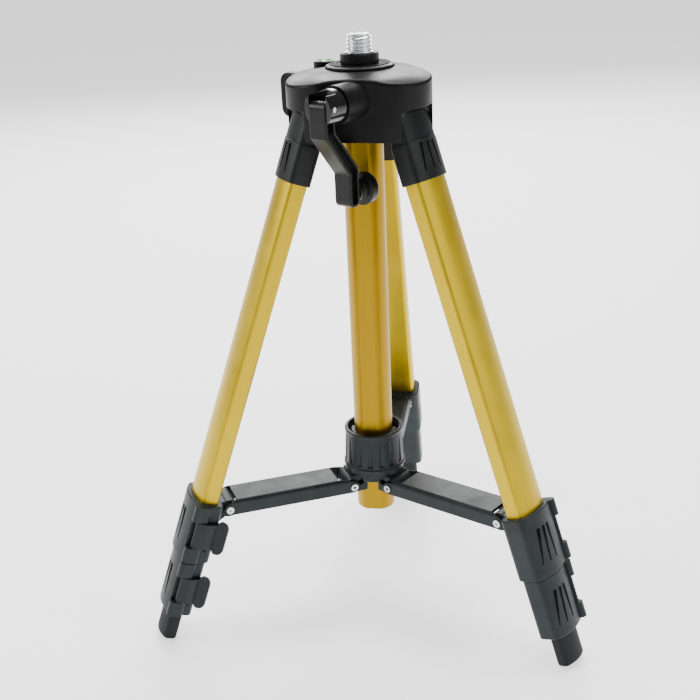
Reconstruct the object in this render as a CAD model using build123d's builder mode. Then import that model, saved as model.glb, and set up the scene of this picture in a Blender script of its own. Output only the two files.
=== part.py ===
from build123d import *
import os
from math import atan2, cos, degrees, hypot, pi, radians, sin, tan

# Surveyor's column tripod: three folding telescopic legs round a geared centre column.
#
# Row frame, in millimetres: +Z is up along the column, the origin is on the column's axis in
# the plane of the feet, and the rear leg stands towards +Y. The other two legs stand 120
# degrees to each side of it. Three local frames are used:
#   leg frame     origin at the leg's hinge, X outward from the leg's face, Y across, Z up it
#   radial frame  origin on the column's axis, X outwards along the leg's azimuth, Z up
#   crank frame   origin at the pinion, X towards the right leg, Y up, Z out along the shaft

# ---------------------------------------------------------------- driving dimensions
LEGS = {"left": 210.0, "right": 330.0, "rear": 90.0}
LEG_TILT = 20.0
HINGE_R = 33.5
HINGE_Z = 340.0
FIT = 0.1

# Leg tubes: (width, depth, arch, corner) of each D section, with its wall.
OUTER_D = (28.0, 14.0, 3.4, 2.4)
OUTER_WALL = 1.1
MIDDLE_D = (24.0, 10.8, 2.6, 2.0)
MIDDLE_WALL = 1.0
LOWER_D = (20.2, 7.8, 1.8, 1.6)
LOWER_WALL = 0.9

# Stations down the leg, measured from the hinge.
SLEEVE_END = 42.3
SHROUD_TOP = 18.5
OUTER_TOP = 24.0
UPPER_COLLAR = (256.2, 297.5)
LOWER_COLLAR = (297.8, 338.2)
SEAT_DEPTH = 27.5
MIDDLE_TOP = 62.0
LOWER_TOP = 88.0
FOOT_TOP = 338.5
FOOT_END = 360.0

# Hinge sleeve at the top of the leg.
NECK_D = (29.4, 15.8, 3.0, 3.0)
SHROUD_D = (30.6, 17.4, 4.0, 3.4)
KNUCKLE_R = 7.0
HINGE_PIN_R = 2.5
HINGE_PIN_HALF = 19.3

# Collars and their flip levers.
UPPER_COLLAR_D = (35.0, 20.5, 5.0, 4.0)
LOWER_COLLAR_D = (31.6, 17.8, 4.4, 3.6)
LEVER_HEIGHT = 18.0
KNUCKLE = 2.4
TRUNNION_R = 1.1

# Brace: pivots in the radial frame, as (radius, height).
HUB_PIVOT = (20.0, 86.5)
BRACKET_STATION = 260.0
BRACKET_OFFSET = -16.5
STRUT_HALF = 12.0
EAR = 2.4
STRUT_TOP = 6.2
STRUT_EDGE = 4.0
RIVET_R = 1.5
TONGUE_HALF = 9.3

# Centre column.
GUIDE_R = 12.8
GUIDE_BORE = 10.9
GUIDE_Z = (65.4, 338.0)
COLUMN_R = 10.5
COLUMN_BORE = 8.6
COLUMN_Z = (80.0, 363.5)
HUB_FLANGE_R = 19.5
HUB_Z = (89.8, 97.0, 122.5)
RING_Z = (97.2, 124.6)

# Crown.
CROWN_BOTTOM = 325.0
SKIRT_Z = 343.0
CROWN_TOP = 363.5
LOBE_CENTRE = 15.0
LOBE_R = 31.0
VALLEY_R = 35.6
DISC_R = 21.0
SLOT_HALF = 15.1
COVER_R = 24.0
COVER_T = 3.0

# Rack and pinion.
MODULE = 1.25
TEETH = 12
PRESSURE = 20.0
RACK_PITCH_X = 9.4
RACK_TIP = 0.8
PINION_TIP = 1.0
ROOT_DEPTH = 1.25
BACKLASH = 0.16
RACK_WIDTH = 5.0
PINION_HALF = 2.1
CRANK_Z = 349.0
CRANK_AZIMUTH = 240.0
RACK_Z = (158.0, 357.5)

# Crank, along its shaft from the pinion.
BOSS_END = 44.8
BOSS_R = 11.2
HUB_S = (45.1, 59.5)
CRANK_HUB_R = 10.1
SHAFT_R = 3.0
FOLD_S = 56.0
ARM_HALF = 6.0
ARM_DEPTH = 8.8
ARM_BENDS = (-15.0, -39.0)
ARM_END = -60.5
ARM_OFFSET = 19.2
CRANK_KNOB_Y = -53.0
CRANK_KNOB_R = 9.8
CRANK_KNOB_S = (17.5, 31.8)

# Column lock and level.
LOCK_AZIMUTH = 150.0
LOCK_Z = 343.0
LEVEL_R = 28.2
LEVEL_CUP_R = 6.6

# Instrument stud: 5/8 inch.
STUD_R = 7.9375
STUD_Z = (372.0, 383.0)

PITCH_R = MODULE * TEETH / 2
PINION_X = RACK_PITCH_X + PITCH_R


# ---------------------------------------------------------------- frames and profiles
def polar(radius, azimuth, height=0.0):
    """Point at a radius and azimuth round the column."""
    return Vector(radius * cos(radians(azimuth)), radius * sin(radians(azimuth)), height)


def leg_frame(azimuth):
    """Plane at the leg's hinge, with X outward from the leg's face and Z up the leg."""
    tilt = radians(LEG_TILT)
    outward = polar(cos(tilt), azimuth, sin(tilt))
    upward = polar(-sin(tilt), azimuth, cos(tilt))
    return Plane(origin=polar(HINGE_R, azimuth, HINGE_Z), x_dir=outward, z_dir=upward)


def radial_frame(azimuth):
    """Plane on the column's axis, with X along the azimuth."""
    return Plane(origin=(0, 0, 0), x_dir=polar(1, azimuth), z_dir=(0, 0, 1))


def crank_frame():
    """Plane at the pinion, with Y up and Z out along the crank's shaft."""
    across = CRANK_AZIMUTH + 90
    origin = polar(PINION_X, across, CRANK_Z)
    return Plane(origin=origin, x_dir=polar(1, across), z_dir=polar(1, CRANK_AZIMUTH))


def lock_frame():
    """Plane on the column's axis, with Y up and Z out along the lock screw."""
    return Plane(
        origin=(0, 0, LOCK_Z), x_dir=polar(1, LOCK_AZIMUTH + 90), z_dir=polar(1, LOCK_AZIMUTH)
    )


def d_profile(width, depth, arch, corner):
    """D section: flat on the inner side, arched on the outer side."""
    inner, shoulder, half = -depth / 2, depth / 2 - arch, width / 2
    with BuildSketch() as section:
        with BuildLine():
            Polyline((shoulder, -half), (inner, -half), (inner, half), (shoulder, half))
            ThreePointArc((shoulder, half), (depth / 2, 0), (shoulder, -half))
        make_face()
        fillet(section.vertices(), corner)
    return section.sketch


def shrunk(section, wall):
    """The D section that lies one wall inside another."""
    width, depth, arch, corner = section
    return (width - 2 * wall, depth - 2 * wall, arch, max(corner - wall, 0.5))


def arch_surface(section, across):
    """Height of a D section's arched face at a distance across it."""
    width, depth, arch, corner = section
    return depth / 2 - arch * (2 * across / width) ** 2


def bracket_pivot():
    """Strut pivot on the leg, as (radius, height) in the radial frame."""
    tilt = radians(LEG_TILT)
    radius = HINGE_R + BRACKET_STATION * sin(tilt) + BRACKET_OFFSET * cos(tilt)
    return radius, HINGE_Z - BRACKET_STATION * cos(tilt) + BRACKET_OFFSET * sin(tilt)


def finished(builder, label):
    builder.part.label = label
    return builder.part


# ---------------------------------------------------------------- leg pieces, in the leg frame
def d_tube(label, section, wall, top, bottom):
    """Straight D tube between two stations down the leg."""
    with BuildPart() as tube:
        with BuildSketch(Plane.XY.offset(-bottom)):
            add(d_profile(*section))
            add(d_profile(*shrunk(section, wall)), mode=Mode.SUBTRACT)
        extrude(amount=bottom - top)
    return finished(tube, label)


def groove(section, across, top, length, lean, wide, depth):
    """Outline of one tapered groove at its floor in the arched face, narrowing down the leg."""
    floor = arch_surface(section, across) - depth
    with BuildSketch(Plane.YZ.offset(floor)) as outline:
        with Locations((across, -top - length / 2)):
            Trapezoid(wide, length, 90 - degrees(atan2(wide * 0.35, length)), rotation=180 + lean)
    return outline.sketch


def hinge_sleeve():
    """Moulded sleeve that caps the leg and carries its hinge."""
    with BuildPart() as sleeve:
        with BuildSketch(Plane.XY.offset(-SLEEVE_END)):
            add(d_profile(*NECK_D))
        extrude(amount=SLEEVE_END - 2)
        with BuildSketch(Plane.XY.offset(-SLEEVE_END)):
            add(d_profile(*SHROUD_D))
        extrude(amount=SLEEVE_END - SHROUD_TOP)
        with BuildSketch(Plane.XZ):
            Circle(KNUCKLE_R)
        extrude(amount=NECK_D[0] / 2, both=True)
        with BuildSketch(Plane.XZ):
            Circle(HINGE_PIN_R + FIT)
        extrude(amount=NECK_D[0], both=True, mode=Mode.SUBTRACT)
        with BuildSketch(Plane.XY.offset(-SLEEVE_END)):
            add(d_profile(*OUTER_D))
        extrude(amount=SLEEVE_END - OUTER_TOP, mode=Mode.SUBTRACT)
        for across, lean in ((-6.5, -7), (0.0, 0), (6.5, 7)):
            outline = groove(SHROUD_D, across, SHROUD_TOP + 1.5, 17.0, lean, 2.8, 0.9)
            extrude(outline, amount=6, mode=Mode.SUBTRACT)
    return finished(sleeve, "hinge_sleeve")


def lever_axis(section):
    """Flip lever's pivot in the leg frame's cross-section."""
    return section[1] * 0.18, section[0] / 2 + 0.4


def collar(label, section, stations, seat, passage):
    """Moulded clamp collar with a window for its flip lever."""
    top, bottom = stations
    half, middle = section[0] / 2, (top + bottom) / 2
    axis_x, axis_y = lever_axis(section)
    with BuildPart() as body:
        with BuildSketch(Plane.XY.offset(-bottom)):
            add(d_profile(*section))
        extrude(amount=bottom - top)
        rims = body.faces().filter_by(GeomType.PLANE).filter_by(Axis.Z)
        fillet(rims.edges(), 0.9)
        with BuildSketch(Plane.XY.offset(-bottom + 0.6)):
            with Locations((axis_x, axis_y - 0.6)):
                SlotOverall(11.0, 5.8)
        extrude(amount=bottom - top - 1.2)
        with BuildSketch(Plane.XY.offset(-top)):
            add(d_profile(*seat))
        extrude(amount=-SEAT_DEPTH, mode=Mode.SUBTRACT)
        with BuildSketch(Plane.XY.offset(-bottom)):
            add(d_profile(*passage))
        extrude(amount=bottom - top, mode=Mode.SUBTRACT)
        with BuildSketch(Plane.XY.offset(-middle - LEVER_HEIGHT / 2 - 0.4)):
            with Locations((0, half - 2.3)):
                Rectangle(60, 12.0, align=(Align.CENTER, Align.MIN))
        extrude(amount=LEVER_HEIGHT + 0.8, mode=Mode.SUBTRACT)
        with BuildSketch(Plane.XY.offset(-middle - LEVER_HEIGHT / 2 - 3)):
            with Locations((-section[1] * 0.22, half - 2)):
                Rectangle(1.2, 6.0)
        extrude(amount=LEVER_HEIGHT + 3.4, mode=Mode.SUBTRACT)
        with BuildSketch(Plane.XY.offset(-middle - LEVER_HEIGHT / 2 - 4.2)):
            with Locations((axis_x, axis_y)):
                Circle(TRUNNION_R + FIT)
        extrude(amount=LEVER_HEIGHT + 8.4, mode=Mode.SUBTRACT)
        for across, lean in ((-9.0, -9), (-3.4, -4), (2.2, 2)):
            outline = groove(section, across, top + 9.5, 23.0, lean, 3.4, 1.0)
            extrude(outline, amount=6, mode=Mode.SUBTRACT)
    return finished(body, label)


def upper_collar():
    """Collar on the outer tube, with the lug that the brace strut pivots on."""
    passage = (MIDDLE_D[0] + 0.6, MIDDLE_D[1] + 0.6, MIDDLE_D[2], MIDDLE_D[3])
    shell = collar("upper_collar", UPPER_COLLAR_D, UPPER_COLLAR, OUTER_D, passage)
    back = -UPPER_COLLAR_D[1] / 2
    with BuildPart() as body:
        add(shell)
        with BuildSketch(Plane.XZ):
            with Locations((BRACKET_OFFSET, -BRACKET_STATION)):
                Circle(6.0)
            with BuildLine():
                Polyline(
                    (BRACKET_OFFSET - 1.0, -BRACKET_STATION + 5.9),
                    (back + 1.5, -UPPER_COLLAR[0] - 0.6),
                    (back + 1.5, -BRACKET_STATION - 14.0),
                    (BRACKET_OFFSET + 1.0, -BRACKET_STATION - 5.9),
                    close=True,
                )
            make_face()
        extrude(amount=TONGUE_HALF, both=True)
        with BuildSketch(Plane.XZ):
            with Locations((BRACKET_OFFSET, -BRACKET_STATION)):
                Circle(RIVET_R + FIT)
        extrude(amount=STRUT_HALF, both=True, mode=Mode.SUBTRACT)
    return finished(body, "upper_collar")


def lower_collar():
    """Collar on the middle tube."""
    passage = (LOWER_D[0] + 0.6, LOWER_D[1] + 0.6, LOWER_D[2], LOWER_D[3])
    return collar("lower_collar", LOWER_COLLAR_D, LOWER_COLLAR, MIDDLE_D, passage)


def flip_lever(label, section, stations):
    """Cam lever on trunnions, with a thumb tab flared off the collar's inner corner."""
    half, middle = section[0] / 2, (stations[0] + stations[1]) / 2
    axis_x, axis_y = lever_axis(section)
    inner, end = half - 2.0, -section[1] / 2 + 1.5
    with BuildPart() as lever:
        with BuildSketch(Plane.XY.offset(-middle - LEVER_HEIGHT / 2)):
            with Locations((axis_x, axis_y)):
                Circle(KNUCKLE)
            with BuildLine():
                Line((axis_x, axis_y + KNUCKLE), (axis_x, inner))
                Line((axis_x, inner), (end, inner))
                Line((end, inner), (end - 1.2, half + 0.8))
                ThreePointArc(
                    (end - 1.2, half + 0.8),
                    ((axis_x + end) / 2, half + 3.6),
                    (axis_x, axis_y + KNUCKLE),
                )
            make_face()
        extrude(amount=LEVER_HEIGHT)
        tab_plane = Plane(
            origin=(end + 1.2, half - 1.2, -middle), x_dir=(-0.82, 0.57, 0), z_dir=(0.57, 0.82, 0)
        )
        root, flare = LEVER_HEIGHT / 2, LEVER_HEIGHT / 2 + 2.5
        with BuildSketch(tab_plane) as tab:
            with BuildLine():
                Polyline((0, -root), (1.5, -root), (4, -flare), (9.8, -flare), (9.8, flare),
                         (4, flare), (1.5, root), (0, root), close=True)
            make_face()
            fillet(tab.vertices().sort_by(Axis.X)[-2:], 4.6)
        extrude(amount=2.3)
        with BuildSketch(Plane.XY.offset(-middle - LEVER_HEIGHT / 2 - 4)):
            with Locations((axis_x, axis_y)):
                Circle(TRUNNION_R)
        extrude(amount=LEVER_HEIGHT + 8)
    return finished(lever, label)


def foot():
    """Rubber foot pressed on the end of the lower tube."""
    outer = (21.2, 10.6, 2.6, 3.2)
    with BuildPart() as boot:
        with BuildSketch(Plane.XY.offset(-FOOT_END)):
            add(d_profile(*outer))
        extrude(amount=FOOT_END - FOOT_TOP)
        fillet(boot.faces().sort_by(Axis.Z)[0].edges(), 1.6)
        with BuildSketch(Plane.XY.offset(-FOOT_TOP)):
            add(d_profile(*LOWER_D))
        extrude(amount=-12.0, mode=Mode.SUBTRACT)
    return finished(boot, "foot")


# ---------------------------------------------------------------- brace, in the radial frame
def strut_plane():
    """Side view of the strut: X from the hub's pivot to the leg's, Y to its top."""
    far_r, far_z = bracket_pivot()
    along = Vector(far_r - HUB_PIVOT[0], 0, far_z - HUB_PIVOT[1])
    return Plane(origin=(HUB_PIVOT[0], 0, HUB_PIVOT[1]), x_dir=along, z_dir=(0, -1, 0))


def strut_length():
    far_r, far_z = bracket_pivot()
    return hypot(far_r - HUB_PIVOT[0], far_z - HUB_PIVOT[1])


def brace_strut():
    """Channel strut with two ears at each end."""
    side, span = strut_plane(), strut_length()
    with BuildPart() as strut:
        with BuildSketch(side):
            with BuildLine():
                Line((0, -STRUT_EDGE), (span, -STRUT_EDGE))
                ThreePointArc((span, -STRUT_EDGE), (span + STRUT_EDGE, 0), (span, STRUT_EDGE))
                Polyline((span, STRUT_EDGE), (span - 5, STRUT_TOP), (9, STRUT_TOP), (0, STRUT_EDGE))
                ThreePointArc((0, STRUT_EDGE), (-STRUT_EDGE, 0), (0, -STRUT_EDGE))
            make_face()
        extrude(amount=STRUT_HALF, both=True)
        crown_edges = strut.edges().filter_by(lambda e: abs(e.length - (span - 14)) < 0.01)
        fillet(crown_edges, 2.6)
        with BuildSketch(side):
            with Locations((-10, -10)):
                Rectangle(span + 20, 10 + STRUT_TOP - 2.2, align=(Align.MIN, Align.MIN))
            with Locations((-10, -10)):
                Rectangle(10 + 10.5, 30, align=(Align.MIN, Align.MIN))
            with Locations((span - 5.2, -10)):
                Rectangle(15, 30, align=(Align.MIN, Align.MIN))
        extrude(amount=STRUT_HALF - EAR, both=True, mode=Mode.SUBTRACT)
        with BuildSketch(side):
            with Locations((0, 0), (span, 0)):
                Circle(RIVET_R)
        extrude(amount=STRUT_HALF, both=True, mode=Mode.SUBTRACT)
    return finished(strut, "brace_strut")


def strut_rivets():
    """Through pin at the leg and two stub rivets at the hub."""
    side, span = strut_plane(), strut_length()
    with BuildPart() as rivets:
        with BuildSketch(side):
            with Locations((span, 0)):
                Circle(RIVET_R)
        extrude(amount=STRUT_HALF + 0.2, both=True)
        for sign in (-1, 1):
            outer = side.offset(sign * STRUT_HALF)
            with BuildSketch(outer):
                with Locations((0, 0), (span, 0)):
                    Circle(2.5)
                    Circle(0.9, mode=Mode.SUBTRACT)
            extrude(amount=sign * 0.8)
            with BuildSketch(outer):
                with Locations((0, 0)):
                    Circle(RIVET_R)
                    Circle(0.9, mode=Mode.SUBTRACT)
            extrude(amount=-sign * (EAR + 2.8))
    return finished(rivets, "strut_rivets")


def brace_hub():
    """Slider on the guide tube: a collet above, and three tongues for the struts below."""
    with BuildPart() as hub:
        with BuildSketch(Plane.XY.offset(HUB_Z[0])):
            Circle(HUB_FLANGE_R)
        extrude(amount=HUB_Z[1] - HUB_Z[0])
        fillet(hub.edges().group_by(Axis.Z)[0], 1.5)
        with BuildSketch(Plane.XY.offset(HUB_Z[1])):
            Circle(16.1)
        extrude(amount=HUB_Z[2] - HUB_Z[1])
        chamfer(hub.edges().group_by(Axis.Z)[-1], 1.2)
        for azimuth in LEGS.values():
            with BuildSketch(Plane(radial_frame(azimuth).origin, polar(1, azimuth),
                                   polar(1, azimuth - 90))):
                with Locations(HUB_PIVOT):
                    Circle(5.2)
                with Locations((GUIDE_R - 3, HUB_PIVOT[1] - 5.2)):
                    Rectangle(HUB_PIVOT[0] - GUIDE_R + 3, 12, align=(Align.MIN, Align.MIN))
            extrude(amount=TONGUE_HALF, both=True)
        with BuildSketch(Plane.XY.offset(HUB_PIVOT[1] - 10)):
            Circle(GUIDE_R + FIT)
        extrude(amount=60, mode=Mode.SUBTRACT)
        for azimuth in LEGS.values():
            ears = radial_frame(azimuth).offset(HUB_PIVOT[1] - 8)
            with BuildSketch(ears):
                for sign in (-1, 1):
                    with Locations((8, sign * (TONGUE_HALF + 2.0))):
                        Rectangle(20, 4.0, align=(Align.MIN, Align.CENTER))
            extrude(amount=15.2, mode=Mode.SUBTRACT)
            for sign in (-1, 1):
                face = Plane(polar(0, 0) + polar(sign * TONGUE_HALF, azimuth - 90),
                             polar(1, azimuth), polar(1, azimuth - 90))
                with BuildSketch(face):
                    with Locations((HUB_PIVOT[0] - 3.3, HUB_PIVOT[1] + 1.0)):
                        SlotCenterToCenter(6.8, 4.2, rotation=-16)
                extrude(amount=-sign * 3.4, mode=Mode.SUBTRACT)
        with BuildSketch(Plane.XY.offset(HUB_Z[1] + 7)):
            with PolarLocations(15, 3, start_angle=30):
                Rectangle(8, 11.2)
        extrude(amount=30, mode=Mode.SUBTRACT)
    return finished(hub, "brace_hub")


def brace_lock_ring():
    """Fluted ring that turns on the hub to close its collet on the guide tube."""
    low, high = RING_Z
    with BuildPart() as ring:
        with BuildSketch(Plane.XZ):
            with BuildLine():
                Polyline((16.4, low), (20.4, low), (20.9, low + 0.6), (20.9, low + 2.0),
                         (20.2, low + 2.6))
                Line((20.2, low + 2.6), (19.3, high - 2.4))
                Polyline((19.3, high - 2.4), (19.7, high - 1.6), (19.7, high - 0.5),
                         (19.2, high), (17.6, high), (17.2, high - 1.0), (17.2, HUB_Z[2] + 0.3),
                         (16.4, HUB_Z[2] - 0.8), (16.4, low))
            make_face()
        revolve(axis=Axis.Z)
        with BuildSketch(Plane.XY.offset(low + 4.0)):
            with PolarLocations(21.4, 16):
                Circle(2.3)
        extrude(amount=high - low - 9.0, mode=Mode.SUBTRACT)
    return finished(ring, "brace_lock_ring")


# ---------------------------------------------------------------- centre column
def guide_tube():
    """Lower tube, with three flats between the legs."""
    low, high = GUIDE_Z
    with BuildPart() as tube:
        with BuildSketch(Plane.XY.offset(low)):
            Circle(GUIDE_R)
            with PolarLocations(GUIDE_R - 1.0 + 2, 3, start_angle=30):
                Rectangle(4, 12, mode=Mode.SUBTRACT)
            Circle(GUIDE_BORE, mode=Mode.SUBTRACT)
        extrude(amount=high - low)
    return finished(tube, "guide_tube")


def guide_tube_plug():
    """Plug in the guide tube's lower end."""
    low = GUIDE_Z[0]
    with BuildPart() as plug:
        with BuildSketch(Plane.XY.offset(low)):
            Circle(GUIDE_BORE)
        extrude(amount=9.0)
        with BuildSketch(Plane.XY.offset(low + 2.5)):
            Circle(GUIDE_BORE - 1.8)
        extrude(amount=10.0, mode=Mode.SUBTRACT)
        chamfer(plug.edges().group_by(Axis.Z)[0], 0.8)
    return finished(plug, "guide_tube_plug")


def column_tube():
    """Sliding tube, slotted on the pinion's side for its rack."""
    low, high = COLUMN_Z
    with BuildPart() as tube:
        with BuildSketch(Plane.XY.offset(low)):
            Circle(COLUMN_R)
            Circle(COLUMN_BORE, mode=Mode.SUBTRACT)
        extrude(amount=high - low)
        with BuildSketch(radial_frame(CRANK_AZIMUTH + 90).offset(RACK_Z[0])):
            with Locations((COLUMN_BORE - 2, 0)):
                Rectangle(6, RACK_WIDTH, align=(Align.MIN, Align.CENTER))
        extrude(amount=RACK_Z[1] - RACK_Z[0], mode=Mode.SUBTRACT)
    return finished(tube, "column_tube")


def column_rack():
    """Toothed bar set in the column's slot, with a tooth level with the pinion's axis."""
    pitch = pi * MODULE
    tip, root = RACK_PITCH_X + RACK_TIP, RACK_PITCH_X - ROOT_DEPTH
    back = COLUMN_BORE - 1.5
    slope = tan(radians(PRESSURE))
    half_pitch_line = pitch / 4 - BACKLASH / 4
    half_tip = half_pitch_line - RACK_TIP * slope
    half_root = half_pitch_line + ROOT_DEPTH * slope
    low, high = RACK_Z
    first = int((low - CRANK_Z) / pitch) + 1
    last = int((high - CRANK_Z) / pitch) - 1
    outline = [(back, low), (root, low)]
    for tooth in range(first, last + 1):
        height = CRANK_Z + tooth * pitch
        outline += [(root, height - half_root), (tip, height - half_tip),
                    (tip, height + half_tip), (root, height + half_root)]
    outline += [(root, high), (back, high)]
    side = Plane(origin=(0, 0, 0), x_dir=polar(1, CRANK_AZIMUTH + 90), z_dir=polar(1, CRANK_AZIMUTH))
    with BuildPart() as rack:
        with BuildSketch(side):
            with BuildLine():
                Polyline(*outline, close=True)
            make_face()
        extrude(amount=RACK_WIDTH / 2, both=True)
    return finished(rack, "column_rack")


def column_end_cap():
    """Slide bush on the column's lower end."""
    low = COLUMN_Z[0]
    with BuildPart() as cap:
        with BuildSketch(Plane.XY.offset(low - 4)):
            Circle(GUIDE_BORE - 0.1)
            Circle(5, mode=Mode.SUBTRACT)
        extrude(amount=4)
        with BuildSketch(Plane.XY.offset(low)):
            Circle(COLUMN_BORE)
            Circle(5, mode=Mode.SUBTRACT)
        extrude(amount=8)
    return finished(cap, "column_end_cap")


def head_disc():
    """Ribbed plate that the column carries down onto the crown."""
    with BuildPart() as disc:
        with BuildSketch(Plane.XZ):
            with BuildLine():
                Polyline((0, CROWN_TOP), (DISC_R - 0.8, CROWN_TOP), (DISC_R, CROWN_TOP + 0.6),
                         (DISC_R - 0.6, CROWN_TOP + 1.5), (DISC_R - 2.4, CROWN_TOP + 2.1),
                         (0, CROWN_TOP + 2.3), close=True)
            make_face()
        revolve(axis=Axis.Z)
        with BuildSketch(Plane.XY.offset(CROWN_TOP - 5)):
            Circle(COLUMN_BORE)
        extrude(amount=5)
        with BuildSketch(Plane.XY.offset(CROWN_TOP - 5)):
            Circle(4)
        extrude(amount=10, mode=Mode.SUBTRACT)
    return finished(disc, "head_disc")


def head_collar():
    """Moulded collar under the stud."""
    base = CROWN_TOP + 2.3
    with BuildPart() as ring:
        with BuildSketch(Plane.XY.offset(base)):
            Circle(11.7)
        extrude(amount=STUD_Z[0] - base)
        chamfer(ring.edges().group_by(Axis.Z)[-1], 0.7)
        with BuildSketch(Plane.XY.offset(base)):
            Circle(6.0)
        extrude(amount=20, mode=Mode.SUBTRACT)
    return finished(ring, "head_collar")


def instrument_stud():
    """Stud that the instrument screws onto, with a flange and a shank into the column."""
    with BuildPart() as stud:
        with BuildSketch(Plane.XY.offset(STUD_Z[0])):
            Circle(9.2)
        extrude(amount=0.8)
        with BuildSketch(Plane.XY.offset(STUD_Z[0])):
            Circle(STUD_R)
        extrude(amount=STUD_Z[1] - STUD_Z[0])
        chamfer(stud.edges().group_by(Axis.Z)[-1], 1.2)
        with BuildSketch(Plane.XY.offset(CROWN_TOP + 2.3)):
            Circle(6.0)
        extrude(amount=STUD_Z[0] - CROWN_TOP - 2.3)
        with BuildSketch(Plane.XY.offset(CROWN_TOP - 10)):
            Circle(4.0)
        extrude(amount=12.3)
    return finished(stud, "instrument_stud")


# ---------------------------------------------------------------- crank, in the crank frame
def pinion_gear():
    """Twelve-tooth involute pinion with a gap facing the rack."""
    base_r = PITCH_R * cos(radians(PRESSURE))
    tip_r, root_r = PITCH_R + PINION_TIP, PITCH_R - ROOT_DEPTH

    def involute(radius):
        roll = ((radius / base_r) ** 2 - 1) ** 0.5
        return roll - atan2(roll, 1)

    half_at_pitch = (pi * MODULE / 2 - BACKLASH) / 2 / PITCH_R

    def flank(radius, side):
        angle = half_at_pitch + involute(PITCH_R) - involute(max(radius, base_r))
        return radius * cos(side * angle), radius * sin(side * angle)

    steps = [base_r + (tip_r - base_r) * k / 3 for k in range(4)]
    with BuildPart() as gear:
        with BuildSketch(Plane.XY.offset(-PINION_HALF)):
            Circle(root_r + 0.05)
            with PolarLocations(0, TEETH, start_angle=180 / TEETH):
                with BuildLine():
                    low, high = flank(root_r - 0.3, -1), flank(root_r - 0.3, 1)
                    Line(low, flank(base_r, -1))
                    Spline(*[flank(r, -1) for r in steps])
                    ThreePointArc(flank(tip_r, -1), (tip_r, 0), flank(tip_r, 1))
                    Spline(*[flank(r, 1) for r in reversed(steps)])
                    Line(flank(base_r, 1), high)
                    Line(high, low)
                make_face()
            Circle(SHAFT_R, mode=Mode.SUBTRACT)
        extrude(amount=2 * PINION_HALF)
    return finished(gear, "pinion_gear")


def pinion_shaft():
    """Steel shaft from its blind bearing, through the pinion, to the crank's hub."""
    with BuildPart() as shaft:
        with BuildSketch(Plane.XY.offset(-8.5)):
            Circle(SHAFT_R)
        extrude(amount=8.5 + HUB_S[0] + 3.5)
        chamfer(shaft.edges().group_by(Axis.Z)[0] + shaft.edges().group_by(Axis.Z)[-1], 0.4)
    return finished(shaft, "pinion_shaft")


def crank_bush():
    """Bearing bush in the crank's boss."""
    with BuildPart() as bush:
        with BuildSketch(Plane.XY.offset(24)):
            Circle(4.8)
            Circle(SHAFT_R + 0.05, mode=Mode.SUBTRACT)
        extrude(amount=BOSS_END - 24)
    return finished(bush, "crank_bush")


def crank_hub():
    """Forked hub: two cheeks that the crank arm folds between."""
    low, high = HUB_S
    with BuildPart() as hub:
        with BuildSketch(Plane.XY.offset(low)):
            Circle(CRANK_HUB_R)
        extrude(amount=high - low)
        chamfer(hub.edges().group_by(Axis.Z)[-1], 0.6)
        with BuildSketch(Plane.XY.offset(FOLD_S - ARM_DEPTH / 2 - 0.5)):
            Rectangle(2 * ARM_HALF + 0.6, 3 * CRANK_HUB_R)
        extrude(amount=20, mode=Mode.SUBTRACT)
        with BuildSketch(Plane.XY.offset(low)):
            Circle(SHAFT_R + FIT)
        extrude(amount=4.0, mode=Mode.SUBTRACT)
        with BuildSketch(Plane.YZ):
            with Locations((0, FOLD_S)):
                Circle(1.6)
        extrude(amount=CRANK_HUB_R, both=True, mode=Mode.SUBTRACT)
    return finished(hub, "crank_hub")


def crank_fold_pin():
    """Cross pin that the arm folds on."""
    with BuildPart() as pin:
        with BuildSketch(Plane.YZ):
            with Locations((0, FOLD_S)):
                Circle(1.6)
        extrude(amount=CRANK_HUB_R - 0.3, both=True)
    return finished(pin, "crank_fold_pin")


def crank_arm():
    """Cranked arm with a recessed side, folded down beside the column."""
    half = ARM_DEPTH / 2
    low_s = FOLD_S - ARM_OFFSET
    bend_a, bend_b = ARM_BENDS
    slant = atan2(ARM_OFFSET, bend_a - bend_b)
    shift = half * tan(slant / 2)
    outer = [(0, FOLD_S + half), (bend_a - shift, FOLD_S + half), (bend_b - shift, low_s + half),
             (ARM_END, low_s + half)]
    inner = [(ARM_END, low_s - half), (bend_b + shift, low_s - half),
             (bend_a + shift, FOLD_S - half), (0, FOLD_S - half)]
    with BuildPart() as arm:
        with BuildSketch(Plane.YZ) as side:
            with BuildLine():
                Polyline(*outer)
                Line(outer[-1], inner[0])
                Polyline(*inner)
                ThreePointArc(inner[-1], (half, FOLD_S), outer[0])
            make_face()
            ends = side.vertices().group_by(Axis.X)[0]
            fillet(ends, 3.4)
        extrude(amount=ARM_HALF, both=True)
        long_edges = arm.edges().filter_by(GeomType.LINE).filter_by(
            lambda e: abs(abs(e.center().X) - ARM_HALF) < 0.01 and abs(e.tangent_at(0.5).X) < 0.1
        )
        fillet(long_edges, 0.7)
        recess = offset(side.sketch_local, amount=-1.7, kind=Kind.ARC, mode=Mode.PRIVATE)
        for sign in (-1, 1):
            with BuildSketch(Plane.YZ.offset(sign * ARM_HALF)):
                add(recess)
                with Locations((half - 1, FOLD_S)):
                    Rectangle(16, 12, mode=Mode.SUBTRACT)
            extrude(amount=-sign * 3.6, mode=Mode.SUBTRACT)
        with BuildSketch(Plane.YZ):
            with Locations((0, FOLD_S)):
                Circle(1.6 + 0.08)
        extrude(amount=ARM_HALF, both=True, mode=Mode.SUBTRACT)
        with BuildSketch(Plane.XY.offset(low_s - half - 1)):
            with Locations((0, CRANK_KNOB_Y)):
                Circle(1.8)
        extrude(amount=ARM_DEPTH + 1 - 2.5, mode=Mode.SUBTRACT)
    return finished(arm, "crank_arm")


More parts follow.
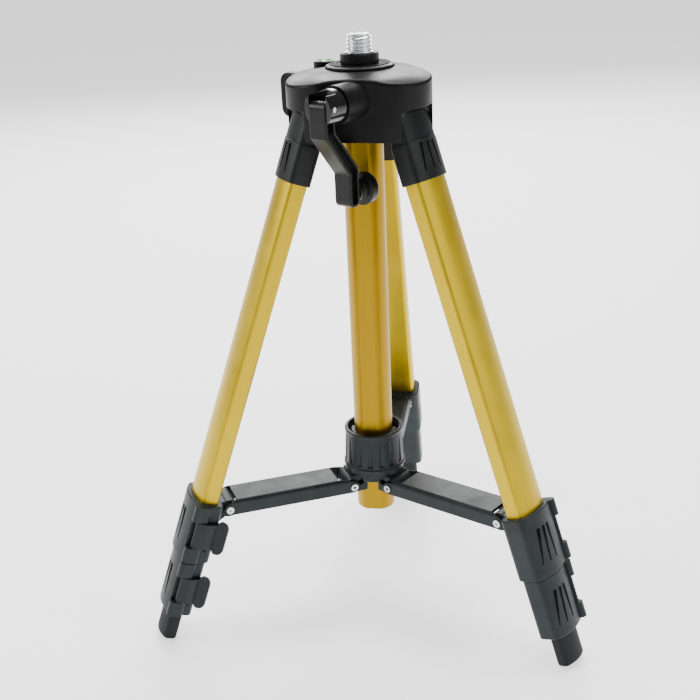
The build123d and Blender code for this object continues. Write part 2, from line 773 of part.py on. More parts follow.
def crank_knob_pin():
    """Shouldered pin that the grip spins on."""
    low_s = FOLD_S - ARM_OFFSET
    with BuildPart() as pin:
        with BuildSketch(Plane.XY.offset(CRANK_KNOB_S[0] + 3)):
            with Locations((0, CRANK_KNOB_Y)):
                Circle(1.8)
        extrude(amount=low_s + ARM_DEPTH / 2 - 2.5 - CRANK_KNOB_S[0] - 3)
        with BuildSketch(Plane.XY.offset(CRANK_KNOB_S[0] + 1.6)):
            with Locations((0, CRANK_KNOB_Y)):
                Circle(3.2)
        extrude(amount=1.4)
    return finished(pin, "crank_knob_pin")


def crank_knob():
    """Waisted grip on the end of the arm."""
    low, high = CRANK_KNOB_S
    r = CRANK_KNOB_R
    with BuildPart() as knob:
        with BuildSketch(Plane.XZ) as half_section:
            with BuildLine():
                Polyline((2.0, high), (6.6, high), (6.6, high - 1.6), (5.8, high - 2.2),
                         (5.8, high - 3.2), (7.2, high - 4.0), (7.2, high - 5.2),
                         (6.4, high - 5.8), (6.4, high - 6.6), (r, high - 7.6))
                Line((r, high - 7.6), (r, low + 2.4))
                ThreePointArc((r, low + 2.4), (r - 0.7, low + 0.7), (r - 2.4, low))
                Polyline((r - 2.4, low), (4.0, low), (4.0, low + 3.1), (2.0, low + 3.1), (2.0, high))
            make_face()
        revolve(axis=Axis.Z)
    return finished(knob, "crank_knob").moved(Location((0, CRANK_KNOB_Y, 0)))


# ---------------------------------------------------------------- lock, in the lock frame
def lock_knob():
    """Wing knob on the column lock."""
    with BuildPart() as knob:
        with BuildSketch(Plane.YZ):
            with Locations((0, 53.5)):
                RectangleRounded(28.0, 19.0, 6.0)
        extrude(amount=4.2, both=True)
        fillet(knob.faces().filter_by(Axis.X).edges(), 1.6)
        with BuildSketch(Plane.XY.offset(38.8)):
            Circle(8.0)
        extrude(amount=7.0)
        with BuildSketch(Plane.XY.offset(38.8)):
            Circle(3.0)
        extrude(amount=12.0, mode=Mode.SUBTRACT)
    return finished(knob, "lock_knob")


def lock_screw():
    """Screw that bears on the column when the knob is turned in."""
    with BuildPart() as screw:
        with BuildSketch(Plane.XY.offset(10.9)):
            Circle(3.0)
        extrude(amount=50.8 - 10.9)
        chamfer(screw.edges().group_by(Axis.Z)[0], 0.5)
    return finished(screw, "lock_screw")


# ---------------------------------------------------------------- crown, in the row frame
def crown_outline():
    """Three round lobes over the legs, joined by shallow hollows."""
    spread = 48.0
    with BuildSketch() as outline:
        with BuildLine():
            for azimuth in LEGS.values():
                centre = polar(LOBE_CENTRE, azimuth)
                start = centre + polar(LOBE_R, azimuth - spread)
                top = centre + polar(LOBE_R, azimuth)
                end = centre + polar(LOBE_R, azimuth + spread)
                ThreePointArc(start, top, end)
                following = polar(LOBE_CENTRE, azimuth + 120)
                ThreePointArc(end, polar(VALLEY_R, azimuth + 60),
                              following + polar(LOBE_R, azimuth + 120 - spread))
        make_face()
        fillet(outline.vertices(), 9.0)
    return outline.sketch


def crown_housing():
    """Moulded crown: dome, skirts over the hinges, and the bores for crank, lock and level."""
    crank, lock = crank_frame(), lock_frame()
    with BuildPart() as crown:
        with BuildSketch(Plane.XY.offset(CROWN_BOTTOM)):
            add(crown_outline())
        extrude(amount=CROWN_TOP + 5 - CROWN_BOTTOM)
        with BuildSketch(Plane.XZ):
            with BuildLine():
                Polyline((0, CROWN_TOP), (DISC_R + 0.5, CROWN_TOP), (35, CROWN_TOP - 2.2))
                ThreePointArc((35, CROWN_TOP - 2.2), (41.8, CROWN_TOP - 4.2), (48, CROWN_TOP - 8.6))
                Polyline((48, CROWN_TOP - 8.6), (48, CROWN_BOTTOM), (0, CROWN_BOTTOM),
                         (0, CROWN_TOP))
            make_face()
        revolve(axis=Axis.Z, mode=Mode.INTERSECT)
        brow = crown.edges().filter_by(lambda e: CROWN_TOP - 9 < e.center().Z < CROWN_TOP - 1
                                       and hypot(e.center().X, e.center().Y) > 30)
        fillet(brow, 2.2)
        with BuildSketch(crank.offset(14)):
            Circle(BOSS_R)
        extrude(amount=BOSS_END - 14)
        with BuildSketch(lock.offset(25)):
            Circle(8.6)
        extrude(amount=38.3 - 25)
        for azimuth in LEGS.values():
            side = Plane(origin=(0, 0, 0), x_dir=polar(1, azimuth), z_dir=polar(1, azimuth - 90))
            with BuildSketch(side):
                with BuildLine():
                    Polyline((26.2, CROWN_BOTTOM - 5), (70, CROWN_BOTTOM - 5), (70, SKIRT_Z),
                             (40.3, SKIRT_Z), (40.3, 349.5), (28.4, 349.5), (28.4, 345.4),
                             (26.2, 345.4), close=True)
                make_face()
            extrude(amount=SLOT_HALF, both=True, mode=Mode.SUBTRACT)
            with BuildSketch(side):
                with Locations((HINGE_R, HINGE_Z)):
                    Circle(HINGE_PIN_R)
            extrude(amount=HINGE_PIN_HALF, both=True, mode=Mode.SUBTRACT)
        # centre bore: cover recess, guide tube's seat, gear chamber and top bush
        with BuildSketch(Plane.XY.offset(CROWN_BOTTOM)):
            Circle(COVER_R)
        extrude(amount=COVER_T, mode=Mode.SUBTRACT)
        with BuildSketch(Plane.XY.offset(CROWN_BOTTOM)):
            Circle(GUIDE_R)
        extrude(amount=GUIDE_Z[1] - CROWN_BOTTOM, mode=Mode.SUBTRACT)
        with BuildSketch(Plane.XY.offset(CROWN_BOTTOM)):
            Circle(COLUMN_R + 1.0)
        extrude(amount=60, mode=Mode.SUBTRACT)
        with BuildSketch(Plane.XY.offset(CROWN_TOP - 5)):
            Circle(13.5)
        extrude(amount=20, mode=Mode.SUBTRACT)
        with BuildSketch(crank.offset(-PINION_HALF - 0.5)):
            Circle(PITCH_R + PINION_TIP + 0.6)
        extrude(amount=2 * PINION_HALF + 1, mode=Mode.SUBTRACT)
        with BuildSketch(crank.offset(-8.8)):
            Circle(SHAFT_R + 0.05)
        extrude(amount=60, mode=Mode.SUBTRACT)
        with BuildSketch(crank.offset(24)):
            Circle(4.8)
        extrude(amount=30, mode=Mode.SUBTRACT)
        with BuildSketch(lock.offset(9.0)):
            Circle(3.0 + 0.05)
        extrude(amount=40, mode=Mode.SUBTRACT)
        with BuildSketch(Plane.XY.offset(356.5)):
            with Locations(polar(LEVEL_R, LOCK_AZIMUTH)):
                Circle(LEVEL_CUP_R)
        extrude(amount=20, mode=Mode.SUBTRACT)
        with BuildSketch(Plane.XY.offset(CROWN_BOTTOM)):
            with PolarLocations(18.5, 3, start_angle=30):
                Circle(1.3)
        extrude(amount=11, mode=Mode.SUBTRACT)
    return finished(crown, "crown_housing")


def crown_base_cover():
    """Disc that closes the crown's underside round the guide tube."""
    with BuildPart() as cover:
        with BuildSketch(Plane.XY.offset(CROWN_BOTTOM)):
            Circle(COVER_R)
            Circle(GUIDE_R, mode=Mode.SUBTRACT)
            with PolarLocations(18.5, 3, start_angle=30):
                Circle(1.3, mode=Mode.SUBTRACT)
        extrude(amount=COVER_T)
        with BuildSketch(Plane.XY.offset(CROWN_BOTTOM)):
            with PolarLocations(18.5, 3, start_angle=30):
                Circle(2.6)
        extrude(amount=1.4, mode=Mode.SUBTRACT)
    return finished(cover, "crown_base_cover")


def cover_screws():
    """Three cross-head screws in the base cover."""
    with BuildPart() as screws:
        with BuildSketch(Plane.XY.offset(CROWN_BOTTOM + 0.1)):
            with PolarLocations(18.5, 3, start_angle=30):
                Circle(2.5)
        extrude(amount=1.3)
        with BuildSketch(Plane.XY.offset(CROWN_BOTTOM + 1.4)):
            with PolarLocations(18.5, 3, start_angle=30):
                Circle(1.3)
        extrude(amount=9.4)
        with BuildSketch(Plane.XY.offset(CROWN_BOTTOM + 0.1)):
            with PolarLocations(18.5, 3, start_angle=30):
                Rectangle(3.0, 0.7)
                Rectangle(0.7, 3.0)
        extrude(amount=0.8, mode=Mode.SUBTRACT)
    return finished(screws, "cover_screws")


def column_bush():
    """Bearing bush for the column in the top of the crown."""
    with BuildPart() as bush:
        with BuildSketch(Plane.XY.offset(CROWN_TOP - 5)):
            Circle(13.5)
            Circle(COLUMN_R + 0.08, mode=Mode.SUBTRACT)
        extrude(amount=4.8)
    return finished(bush, "column_bush")


def hinge_pins():
    """Three pins that the legs hang on."""
    with BuildPart() as pins:
        for azimuth in LEGS.values():
            side = Plane(origin=(0, 0, 0), x_dir=polar(1, azimuth), z_dir=polar(1, azimuth - 90))
            with BuildSketch(side):
                with Locations((HINGE_R, HINGE_Z)):
                    Circle(HINGE_PIN_R)
            extrude(amount=HINGE_PIN_HALF, both=True)
    return finished(pins, "leg_hinge_pins")


def level_cup():
    """Cup that holds the round level."""
    with BuildPart() as cup:
        with BuildSketch(Plane.XY.offset(356.5)):
            with Locations(polar(LEVEL_R, LOCK_AZIMUTH)):
                Circle(LEVEL_CUP_R)
        extrude(amount=9.0)
        chamfer(cup.edges().group_by(Axis.Z)[-1], 0.6)
        with BuildSketch(Plane.XY.offset(359.0)):
            with Locations(polar(LEVEL_R, LOCK_AZIMUTH)):
                Circle(5.6)
        extrude(amount=10, mode=Mode.SUBTRACT)
    return finished(cup, "level_cup")


def level_vial():
    """Round vial of green liquid."""
    with BuildPart() as vial:
        with BuildSketch(Plane.XY.offset(359.0)):
            with Locations(polar(LEVEL_R, LOCK_AZIMUTH)):
                Circle(5.6)
        extrude(amount=6.8)
        fillet(vial.edges().group_by(Axis.Z)[-1], 0.5)
    return finished(vial, "level_vial")


# ---------------------------------------------------------------- assembly
def write(piece, name, frame=None):
    """Place a piece by its frame and write it as one STEP file."""
    placed = piece.moved(frame.location) if frame else piece
    placed.label = name
    export_step(placed, f"parts/{name}.step")


def main():
    os.makedirs("parts", exist_ok=True)
    leg_pieces = {
        "hinge_sleeve": hinge_sleeve(),
        "outer_tube": d_tube("outer_tube", OUTER_D, OUTER_WALL, OUTER_TOP,
                             UPPER_COLLAR[0] + SEAT_DEPTH),
        "upper_collar": upper_collar(),
        "upper_lever": flip_lever("upper_lever", UPPER_COLLAR_D, UPPER_COLLAR),
        "middle_tube": d_tube("middle_tube", MIDDLE_D, MIDDLE_WALL, MIDDLE_TOP,
                              LOWER_COLLAR[0] + SEAT_DEPTH),
        "lower_collar": lower_collar(),
        "lower_lever": flip_lever("lower_lever", LOWER_COLLAR_D, LOWER_COLLAR),
        "lower_tube": d_tube("lower_tube", LOWER_D, LOWER_WALL, LOWER_TOP, FOOT_TOP + 12.0),
        "foot": foot(),
    }
    brace_pieces = {"brace_strut": brace_strut(), "strut_rivets": strut_rivets()}
    for side, azimuth in LEGS.items():
        for name, piece in leg_pieces.items():
            write(piece, f"{side}_{name}", leg_frame(azimuth))
        for name, piece in brace_pieces.items():
            write(piece, f"{side}_{name}", radial_frame(azimuth))
    for make in (pinion_gear, pinion_shaft, crank_bush, crank_hub, crank_fold_pin, crank_arm,
                 crank_knob_pin, crank_knob):
        write(make(), make.__name__, crank_frame())
    for make in (lock_knob, lock_screw):
        write(make(), make.__name__, lock_frame())
    for make in (brace_hub, brace_lock_ring, guide_tube, guide_tube_plug, column_tube,
                 column_rack, column_end_cap, head_disc, head_collar, instrument_stud,
                 crown_housing, crown_base_cover, cover_screws, column_bush, hinge_pins,
                 level_cup, level_vial):
        piece = make()
        write(piece, piece.label)


main()
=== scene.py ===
import math

import bpy
from mathutils import Matrix, Vector


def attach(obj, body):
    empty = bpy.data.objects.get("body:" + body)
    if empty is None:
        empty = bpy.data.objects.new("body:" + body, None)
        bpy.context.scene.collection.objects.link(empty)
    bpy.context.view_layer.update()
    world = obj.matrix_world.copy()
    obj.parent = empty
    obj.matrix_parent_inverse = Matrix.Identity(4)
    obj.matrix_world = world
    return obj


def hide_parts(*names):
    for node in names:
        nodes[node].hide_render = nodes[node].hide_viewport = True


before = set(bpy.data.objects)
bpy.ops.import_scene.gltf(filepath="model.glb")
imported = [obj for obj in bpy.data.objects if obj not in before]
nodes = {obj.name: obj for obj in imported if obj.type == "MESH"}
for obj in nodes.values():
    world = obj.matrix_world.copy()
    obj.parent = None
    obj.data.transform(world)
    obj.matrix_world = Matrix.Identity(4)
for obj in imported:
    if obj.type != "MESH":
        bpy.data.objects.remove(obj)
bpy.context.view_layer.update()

# Dimensions shared with the CAD model, in metres; azimuths are in degrees.
LEGS = {"left": 210.0, "right": 330.0, "rear": 90.0}
LEG_TILT = math.radians(20.0)
CROWN_TOP = 0.3635
STUD_R = 0.0079375
STUD_TOP = 0.383
STUD_BASE = 0.3728
LEVEL_R = 0.0282
LEVEL_AZIMUTH = 150.0

# Thread of the stud: a 5/8-11 form, faded out over its first and last stretch.
THREAD_PITCH = 0.0254 / 11
THREAD_DEPTH = 0.00115
THREAD_CREST_FLAT = 0.12
THREAD_FLANK = 0.72
THREAD_LEAD_IN = 0.0012
THREAD_LEAD_OUT = 0.0006
THREAD_TOP_GAP = 0.0002
THREAD_TOP_DROP = 0.0011
THREAD_TOP_SHARE = 0.35
STUD_CORE_R = 0.0060
STUD_STEPS = 96
STUD_LEVELS = 150

# Radial ribs on the head disc.
RIB_COUNT = 72
RIB_BASE = CROWN_TOP + 0.00195
RIB_TOP = CROWN_TOP + 0.00255
RIB_ENDS = ((0.0127, 0.00022), (0.0182, 0.00034))
RIB_FLARE = 0.00016

# Bubble under the level's lid.
LID_TOP = 0.3658
BUBBLE_R = 0.0019
BUBBLE_CROWN_R = 0.0014

# Stage.
FLOOR_HALF = 30
FLOOR_COLOR = (0.94, 0.94, 0.94, 1.0)
FLOOR_ROUGHNESS = 0.8
FLOOR_GLOW = 1.15
WORLD_STRENGTH = 0.26
CAMERA_PLACE = (0.1102, -0.6728, 0.4613)
CAMERA_FORWARD = (-0.16771, 0.90908, -0.38137)
CAMERA_LEVEL_RIGHT = (0.98341, 0.18142, 0.0)
CAMERA_ROLL = -0.04584
CAMERA_LENS = 57.23


def polar(radius, azimuth, height=0.0):
    angle = math.radians(azimuth)
    return Vector((radius * math.cos(angle), radius * math.sin(angle), height))


# ---------------------------------------------------------------- materials
class Graph:
    """Short way to add and join shader nodes."""

    def __init__(self, name):
        self.material = bpy.data.materials.new(name)
        self.material.use_nodes = True
        self.tree = self.material.node_tree
        self.shader = self.tree.nodes["Principled BSDF"]
        self.coords = self.tree.nodes.new("ShaderNodeTexCoord").outputs["Object"]

    def add(self, kind, inputs=None, **settings):
        node = self.tree.nodes.new(kind)
        for key, value in settings.items():
            setattr(node, key, value)
        for key, value in (inputs or {}).items():
            self.feed(node.inputs[key], value)
        return node

    def feed(self, socket, value):
        if isinstance(value, bpy.types.NodeSocket):
            self.tree.links.new(value, socket)
        else:
            socket.default_value = value

    def math(self, operation, first, second=0.0, third=0.0):
        node = self.add("ShaderNodeMath", {0: first, 1: second, 2: third}, operation=operation)
        return node.outputs[0]

    def noise(self, scale, detail=3.0, rough=0.5, vector=None):
        values = {"Vector": vector or self.coords, "Scale": scale, "Detail": detail,
                  "Roughness": rough}
        return self.add("ShaderNodeTexNoise", values).outputs["Fac"]

    def ramp(self, value, low, high, low_out=0.0, high_out=1.0):
        values = {"Value": value, "From Min": low, "From Max": high, "To Min": low_out,
                  "To Max": high_out}
        return self.add("ShaderNodeMapRange", values).outputs["Result"]

    def blend(self, fac, first, second):
        node = self.add("ShaderNodeMix", data_type="RGBA")
        self.feed(node.inputs[0], fac)
        self.feed(node.inputs[6], first)
        self.feed(node.inputs[7], second)
        return node.outputs[2]

    def dot(self, axis):
        values = {0: self.coords, 1: tuple(axis)}
        node = self.add("ShaderNodeVectorMath", values, operation="DOT_PRODUCT")
        return node.outputs["Value"]

    def stretched(self, axis, amount):
        """Coordinates squeezed along an axis, so that noise draws out along it."""
        along = self.dot(axis)
        shrink = self.math("MULTIPLY", along, 1.0 - amount)
        back = self.add("ShaderNodeVectorMath", {0: tuple(axis)}, operation="SCALE")
        self.feed(back.inputs["Scale"], shrink)
        minus = self.add("ShaderNodeVectorMath", {0: self.coords, 1: back.outputs[0]},
                         operation="SUBTRACT")
        return minus.outputs[0]

    def soft_edges(self, radius):
        """Rounded normal, and how far it leans from the surface's own at an edge."""
        rounded = self.add("ShaderNodeBevel", {"Radius": radius}, samples=6).outputs[0]
        true = self.add("ShaderNodeNewGeometry").outputs["Normal"]
        lean = self.add("ShaderNodeVectorMath", {0: rounded, 1: true}, operation="DOT_PRODUCT")
        return rounded, self.math("SUBTRACT", 1.0, lean.outputs["Value"])

    def bump(self, height, strength, distance, normal=None):
        values = {"Height": height, "Strength": strength, "Distance": distance}
        if normal is not None:
            values["Normal"] = normal
        return self.add("ShaderNodeBump", values).outputs[0]


DUST_COLOR = (0.35, 0.34, 0.32, 1.0)
DUST_SHARE = 0.02
RUB_SHARE = 0.55
CHIP_SHARE = 0.5
CHIP_COLOR = (0.7, 0.68, 0.6, 1.0)


def plastic(name, color, worn, rough, grain=0.35, edge=0.00045, coat=0.0, shine=0.2):
    """Moulded plastic: fine grain, mottled sheen, rubbed edges and faint dust."""
    g = Graph(name)
    fine = g.noise(2600.0, 2.0, 0.6)
    cloud = g.noise(70.0, 4.0, 0.6)
    patch = g.noise(18.0, 3.0, 0.5)
    rounded, lean = g.soft_edges(edge)
    dark = tuple(c * 0.8 for c in color) + (1.0,)
    light = tuple(min(1.0, c * 1.25 + 0.002) for c in color) + (1.0,)
    base = g.blend(g.ramp(cloud, 0.35, 0.65), dark, light)
    rub = g.math("MULTIPLY", g.ramp(lean, 0.02, 0.22), g.ramp(cloud, 0.42, 0.62))
    base = g.blend(g.math("MULTIPLY", rub, RUB_SHARE), base, worn + (1.0,))
    dust = g.math("MULTIPLY", g.ramp(patch, 0.5, 0.8), DUST_SHARE)
    base = g.blend(dust, base, DUST_COLOR)
    g.feed(g.shader.inputs["Base Color"], base)
    sheen = g.ramp(cloud, 0.3, 0.7, rough - 0.07, rough + 0.08)
    g.feed(g.shader.inputs["Roughness"], g.math("ADD", sheen, g.math("MULTIPLY", fine, 0.06)))
    g.feed(g.shader.inputs["Normal"], g.bump(fine, grain, 0.00008, rounded))
    g.feed(g.shader.inputs["Specular IOR Level"], shine)
    g.feed(g.shader.inputs["Coat Weight"], coat)
    g.feed(g.shader.inputs["Coat Roughness"], 0.08)
    return g


def metal(name, color, rough, axis=(0, 0, 1), streak=0.35):
    """Bare metal: drawn streaks, fingerprints and slightly dulled patches."""
    g = Graph(name)
    lines = g.noise(1800.0, 3.0, 0.7, g.stretched(axis, 0.04))
    smudge = g.noise(120.0, 4.0, 0.6)
    rounded, lean = g.soft_edges(0.00025)
    dark = tuple(c * 0.72 for c in color) + (1.0,)
    base = g.blend(g.ramp(smudge, 0.3, 0.7), dark, color + (1.0,))
    g.feed(g.shader.inputs["Base Color"], base)
    g.feed(g.shader.inputs["Metallic"], 1.0)
    haze = g.ramp(smudge, 0.35, 0.75, rough, rough + 0.12)
    g.feed(g.shader.inputs["Roughness"], g.math("ADD", haze, g.math("MULTIPLY", lines, 0.08)))
    g.feed(g.shader.inputs["Normal"], g.bump(lines, streak, 0.00003, rounded))
    return g


def paint(name, axis, depth=1.0):
    """Satin golden paint over drawn aluminium, with faint drawing lines and rubbed edges.

    depth below 1 makes a darker, browner gold: painted shade, not a different paint.
    """
    g = Graph(name)
    lines = g.noise(900.0, 4.0, 0.65, g.stretched(axis, 0.02))
    flake = g.noise(3200.0, 2.0, 0.6)
    cloud = g.noise(26.0, 4.0, 0.55)
    rounded, lean = g.soft_edges(0.0005)
    dark = (0.50 * depth, 0.345 * depth ** 1.3, 0.003 * depth, 1.0)
    light = (0.60 * depth, 0.425 * depth ** 1.3, 0.006 * depth, 1.0)
    base = g.blend(g.ramp(cloud, 0.3, 0.7), dark, light)
    base = g.blend(g.ramp(lines, 0.30, 0.75, 0.0, 0.35), base,
                   (0.40 * depth, 0.25 * depth ** 1.3, 0.002 * depth, 1.0))
    chips = g.math("MULTIPLY", g.ramp(lean, 0.05, 0.2), g.ramp(flake, 0.62, 0.7))
    base = g.blend(g.math("MULTIPLY", chips, CHIP_SHARE), base, CHIP_COLOR)
    g.feed(g.shader.inputs["Base Color"], base)
    g.feed(g.shader.inputs["Metallic"], 0.85)
    g.feed(g.shader.inputs["Roughness"], g.ramp(cloud, 0.3, 0.7, 0.36, 0.47))
    height = g.math("ADD", g.math("MULTIPLY", lines, 0.7), g.math("MULTIPLY", flake, 0.3))
    g.feed(g.shader.inputs["Normal"], g.bump(height, 0.35, 0.00006, rounded))
    g.feed(g.shader.inputs["Specular IOR Level"], 0.2)
    g.feed(g.shader.inputs["Coat Weight"], 0.02)
    g.feed(g.shader.inputs["Coat Roughness"], 0.25)
    return g


BLACK = plastic("crown_plastic", (0.0034, 0.0035, 0.0040), (0.04, 0.04, 0.04), 0.36,
                shine=0.12).material
SLEEVE = plastic("sleeve_plastic", (0.0048, 0.0056, 0.0064), (0.05, 0.05, 0.05), 0.38).material
SLATE = plastic("collar_plastic", (0.0125, 0.0185, 0.020), (0.08, 0.09, 0.09), 0.40).material
SLATE_DARK = plastic("lever_plastic", (0.009, 0.013, 0.014), (0.07, 0.07, 0.07), 0.34).material
GLOSS = plastic("crank_gloss", (0.003, 0.003, 0.0033), (0.03, 0.03, 0.03), 0.13, 0.05, 0.0006,
                0.4).material
SATIN = plastic("crank_satin", (0.0045, 0.0048, 0.005), (0.04, 0.04, 0.04), 0.30, 0.2).material
RUBBER = plastic("foot_rubber", (0.009, 0.011, 0.012), (0.05, 0.05, 0.05), 0.62, 0.7).material
ACETAL = plastic("bush_plastic", (0.5, 0.5, 0.47), (0.6, 0.6, 0.58), 0.4, 0.15).material
CHROME = metal("stud_chrome", (0.80, 0.81, 0.83), 0.10, (0, 0, 1), 0.15).material
STEEL = metal("rivet_steel", (0.68, 0.68, 0.69), 0.22).material
GEAR = metal("gear_steel", (0.50, 0.50, 0.52), 0.3).material


def level_material():
    g = Graph("level_liquid")
    cloud = g.noise(400.0, 2.0, 0.5)
    base = g.blend(g.ramp(cloud, 0.3, 0.7), (0.10, 0.42, 0.06, 1.0), (0.20, 0.60, 0.08, 1.0))
    g.feed(g.shader.inputs["Base Color"], base)
    g.feed(g.shader.inputs["Roughness"], g.ramp(cloud, 0.3, 0.7, 0.03, 0.09))
    g.feed(g.shader.inputs["Normal"], g.bump(cloud, 0.05, 0.00003))
    g.feed(g.shader.inputs["Coat Weight"], 1.0)
    return g.material


LEVEL = level_material()
LEG_AXES = {}
for side, azimuth in LEGS.items():
    LEG_AXES[side] = polar(-math.sin(LEG_TILT), azimuth, math.cos(LEG_TILT))
LEG_PAINT = {side: paint(side + "_leg_paint", axis).material for side, axis in LEG_AXES.items()}
# The column uses the legs' paint darkened to depth 0.62. This is painted shade for the column in
# shadow under the crown; the real column has the same paint as the legs.
COLUMN_PAINT_SHADED = paint("column_paint_painted_shade", (0, 0, 1), 0.62).material


def finish_node(name, material):
    mesh = nodes[name].data
    mesh.materials.clear()
    mesh.materials.append(material)


for name in ("crown_housing", "crown_base_cover", "guide_tube_plug", "head_disc", "head_collar",
             "level_cup", "lock_knob"):
    finish_node(name, BLACK)
for name in ("brace_hub", "brace_lock_ring"):
    finish_node(name, SLATE)
for name in ("guide_tube", "column_tube"):
    finish_node(name, COLUMN_PAINT_SHADED)
for name in ("cover_screws", "leg_hinge_pins", "crank_fold_pin", "crank_knob_pin", "lock_screw"):
    finish_node(name, STEEL)
for name in ("column_rack", "pinion_gear", "pinion_shaft"):
    finish_node(name, GEAR)
for name in ("column_bush", "column_end_cap", "crank_bush"):
    finish_node(name, ACETAL)
finish_node("crank_hub", GLOSS)
for name in ("crank_arm", "crank_knob"):
    finish_node(name, SATIN)
finish_node("instrument_stud", CHROME)
finish_node("level_vial", LEVEL)
for side in LEGS:
    finish_node(side + "_hinge_sleeve", SLEEVE)
    for part in ("outer_tube", "middle_tube", "lower_tube"):
        finish_node(side + "_" + part, LEG_PAINT[side])
    for part in ("upper_collar", "lower_collar", "brace_strut"):
        finish_node(side + "_" + part, SLATE)
    for part in ("upper_lever", "lower_lever"):
        finish_node(side + "_" + part, SLATE_DARK)
    finish_node(side + "_foot", RUBBER)
    finish_node(side + "_strut_rivets", STEEL)


# ---------------------------------------------------------------- detail pieces
def new_piece(name, vertices, faces, material, body, smooth=True):
    """Mesh piece in the row frame that moves with a body."""
    mesh = bpy.data.meshes.new(name)
    mesh.from_pydata([tuple(v) for v in vertices], [], faces)
    mesh.materials.append(material)
    if smooth:
        mesh.shade_smooth()
    mesh.update()
    piece = bpy.data.objects.new(name, mesh)
    bpy.context.scene.collection.objects.link(piece)
    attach(piece, body)
    return piece


def ring_points(radius, height, steps, centre=(0, 0)):
    """Points round a circle; radius is a number, or a function of the angle and height."""
    points = []
    for k in range(steps):
        angle = 2 * math.pi * k / steps
        here = radius(angle, height) if callable(radius) else radius
        points.append((centre[0] + here * math.cos(angle),
                       centre[1] + here * math.sin(angle), height))
    return points


def ring_faces(row, steps, start=0):
    """Quads from one ring of points to the next."""
    quads = []
    for k in range(steps):
        a, b = start + row * steps + k, start + row * steps + (k + 1) % steps
        quads.append((a, b, b + steps, a + steps))
    return quads


def revolved(name, profile, material, body, centre, steps):
    """Closed solid of revolution from (radius, height) pairs that start and end on the axis."""
    vertices, faces = [], []
    rings = [p for p in profile if p[0] > 0]
    for radius, height in rings:
        vertices.extend(ring_points(radius, height, steps, centre))
    for row in range(len(rings) - 1):
        faces.extend(ring_faces(row, steps))
    for row, height in ((0, profile[0][1]), (len(rings) - 1, profile[-1][1])):
        middle = len(vertices)
        vertices.append((centre[0], centre[1], height))
        for k in range(steps):
            a, b = row * steps + k, row * steps + (k + 1) % steps
            faces.append((middle, b, a) if row == 0 else (middle, a, b))
    return new_piece(name, vertices, faces, material, body)


def clamped(value):
    return min(1.0, max(0.0, value))


def thread_radius(angle, height):
    """Radius of a single-start 60-degree thread, faded out at both ends."""
    turns = (height - STUD_BASE) / THREAD_PITCH - angle / (2 * math.pi)
    phase = turns - math.floor(turns)
    flank = abs(phase - 0.5) * 2
    depth = THREAD_DEPTH * clamped((flank - THREAD_CREST_FLAT) / THREAD_FLANK)
    lead_in = clamped((STUD_TOP - THREAD_TOP_GAP - height) / THREAD_LEAD_IN)
    lead_out = clamped((height - STUD_BASE) / THREAD_LEAD_OUT)
    crest = STUD_R - THREAD_TOP_DROP * (1 - lead_in)
    share = THREAD_TOP_SHARE + (1 - THREAD_TOP_SHARE) * lead_in
    return max(crest - depth * lead_out * share, STUD_CORE_R)


def stud():
    """Threaded stud with its flange and shank."""
    steps = STUD_STEPS
    vertices, faces = [], []
    below = [(0.0040, 0.3535), (0.0040, 0.3658), (0.0060, 0.3658), (0.0060, 0.3720),
             (0.0092, 0.3720), (0.0092, 0.37265), (0.00905, STUD_BASE)]
    for radius, height in below:
        vertices.extend(ring_points(radius, height, steps))
    for level in range(STUD_LEVELS + 1):
        height = STUD_BASE + (STUD_TOP - STUD_BASE) * level / STUD_LEVELS
        vertices.extend(ring_points(thread_radius, height, steps))
    rows = len(below) + STUD_LEVELS + 1
    for row in range(rows - 1):
        faces.extend(ring_faces(row, steps))
    faces.append(tuple(range(steps - 1, -1, -1)))
    for radius, height in ((0.0052, STUD_TOP), (0.0049, STUD_TOP - 0.0003)):
        vertices.extend(ring_points(radius, height, steps))
    for row in (rows - 1, rows):
        faces.extend(ring_faces(row, steps))
    faces.append(tuple((rows + 1) * steps + k for k in range(steps)))
    piece = new_piece("stud_thread", vertices, faces, CHROME, "column")
    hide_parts("instrument_stud")
    return piece


def disc_ribs():
    """Fine radial ribs moulded on the head disc, each wider at its foot and its outer end."""
    vertices, faces = [], []
    for k in range(RIB_COUNT):
        azimuth = 360.0 * k / RIB_COUNT
        across = polar(1, azimuth + 90)
        for radius, half in RIB_ENDS:
            foot_half = half + RIB_FLARE
            centre = polar(radius, azimuth)
            for sign, level, width in ((-1, RIB_BASE, foot_half), (-1, RIB_TOP, half),
                                       (1, RIB_TOP, half), (1, RIB_BASE, foot_half)):
                point = centre + across * sign * width
                vertices.append((point.x, point.y, level))
        start = 8 * k
        for a in range(3):
            faces.append((start + a, start + 4 + a, start + 5 + a, start + 1 + a))
        faces.append((start + 3, start + 7, start + 4, start))
        faces.append((start, start + 1, start + 2, start + 3))
        faces.append((start + 7, start + 6, start + 5, start + 4))
    return new_piece("disc_ribs", vertices, faces, BLACK, "column", False)


def level_bubble():
    """Air bubble under the level's lid."""
    centre = polar(LEVEL_R, LEVEL_AZIMUTH)
    g = Graph("bubble")
    cloud = g.noise(900.0, 2.0, 0.5)
    base = g.blend(cloud, (0.55, 0.85, 0.35, 1.0), (0.75, 0.95, 0.55, 1.0))
    g.feed(g.shader.inputs["Base Color"], base)
    g.feed(g.shader.inputs["Roughness"], 0.05)
    g.feed(g.shader.inputs["Coat Weight"], 1.0)
    profile = [(0.0, LID_TOP - 0.0004), (BUBBLE_R, LID_TOP - 0.0004),
               (BUBBLE_R, LID_TOP + 0.00002), (BUBBLE_CROWN_R, LID_TOP + 0.00012),
               (0.0, LID_TOP + 0.00016)]
    revolved("level_bubble", profile, g.material, "crown", centre[:2], 40)


stud()
disc_ribs()
level_bubble()


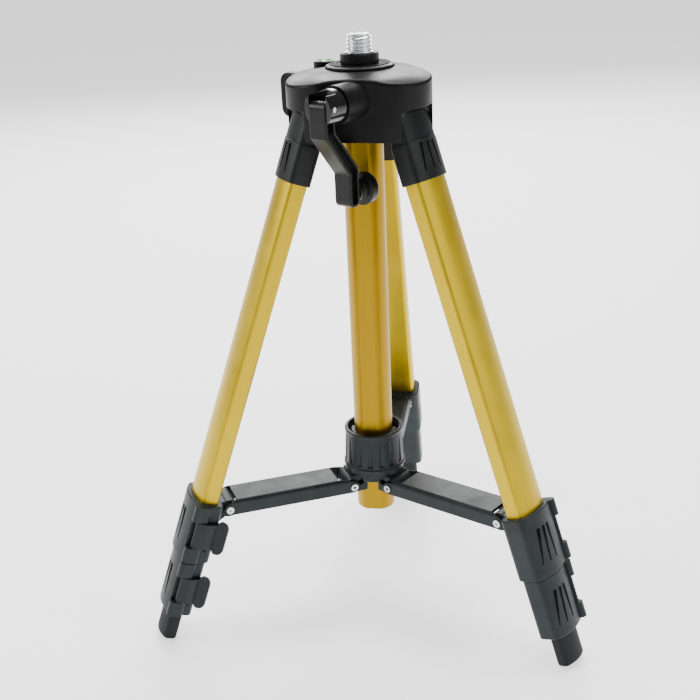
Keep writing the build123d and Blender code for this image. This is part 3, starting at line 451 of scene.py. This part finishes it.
# ---------------------------------------------------------------- stage
def stage_material(name, color, rough, glow):
    material = bpy.data.materials.new(name)
    material.use_nodes = True
    shader = material.node_tree.nodes["Principled BSDF"]
    shader.inputs["Base Color"].default_value = color
    shader.inputs["Roughness"].default_value = rough
    shader.inputs["Emission Color"].default_value = (1.0, 1.0, 1.0, 1.0)
    shader.inputs["Emission Strength"].default_value = glow
    return material


def floor():
    mesh = bpy.data.meshes.new("floor")
    half = FLOOR_HALF
    corners = [(-half, -half, 0), (half, -half, 0), (half, half, 0), (-half, half, 0)]
    mesh.from_pydata(corners, [], [(0, 1, 2, 3)])
    mesh.materials.append(stage_material("floor", FLOOR_COLOR, FLOOR_ROUGHNESS, FLOOR_GLOW))
    plane = bpy.data.objects.new("floor", mesh)
    bpy.context.scene.collection.objects.link(plane)


def softbox(name, position, target, size, power):
    light = bpy.data.lights.new(name, "AREA")
    light.shape = "RECTANGLE"
    light.size, light.size_y = size
    light.energy = power
    lamp = bpy.data.objects.new(name, light)
    lamp.location = position
    aim = Vector(target) - Vector(position)
    lamp.rotation_euler = aim.to_track_quat("-Z", "Y").to_euler()
    bpy.context.scene.collection.objects.link(lamp)


floor()
softbox("key", (-1.4, -0.25, 1.0), (0, 0, 0.2), (0.6, 0.8), 15)
softbox("fill", (1.4, -0.5, 0.8), (0, 0, 0.2), (0.6, 0.9), 6)
softbox("top", (0.1, 0.5, 1.8), (0, 0, 0.2), (1.0, 1.0), 34)
softbox("rim", (-0.35, 1.7, 1.15), (0, 0, 0.25), (1.7, 0.8), 50)

world = bpy.data.worlds.new("studio")
world.use_nodes = True
background = world.node_tree.nodes["Background"]
background.inputs["Color"].default_value = (1.0, 1.0, 1.0, 1.0)
background.inputs["Strength"].default_value = WORLD_STRENGTH
bpy.context.scene.world = world


def camera():
    """Camera at the reference view, in the row frame."""
    forward = Vector(CAMERA_FORWARD).normalized()
    level_right = Vector(CAMERA_LEVEL_RIGHT).normalized()
    level_up = level_right.cross(forward)
    cosine, sine = math.cos(CAMERA_ROLL), math.sin(CAMERA_ROLL)
    right = level_right * cosine + level_up * sine
    up = level_up * cosine - level_right * sine
    data = bpy.data.cameras.new("camera")
    data.lens = CAMERA_LENS
    data.sensor_width = 36.0
    data.clip_start = 0.01
    data.clip_end = 100.0
    item = bpy.data.objects.new("camera", data)
    rotation = Matrix((right, up, -forward)).transposed().to_4x4()
    item.matrix_world = Matrix.Translation(CAMERA_PLACE) @ rotation
    bpy.context.scene.collection.objects.link(item)
    bpy.context.scene.camera = item


camera()
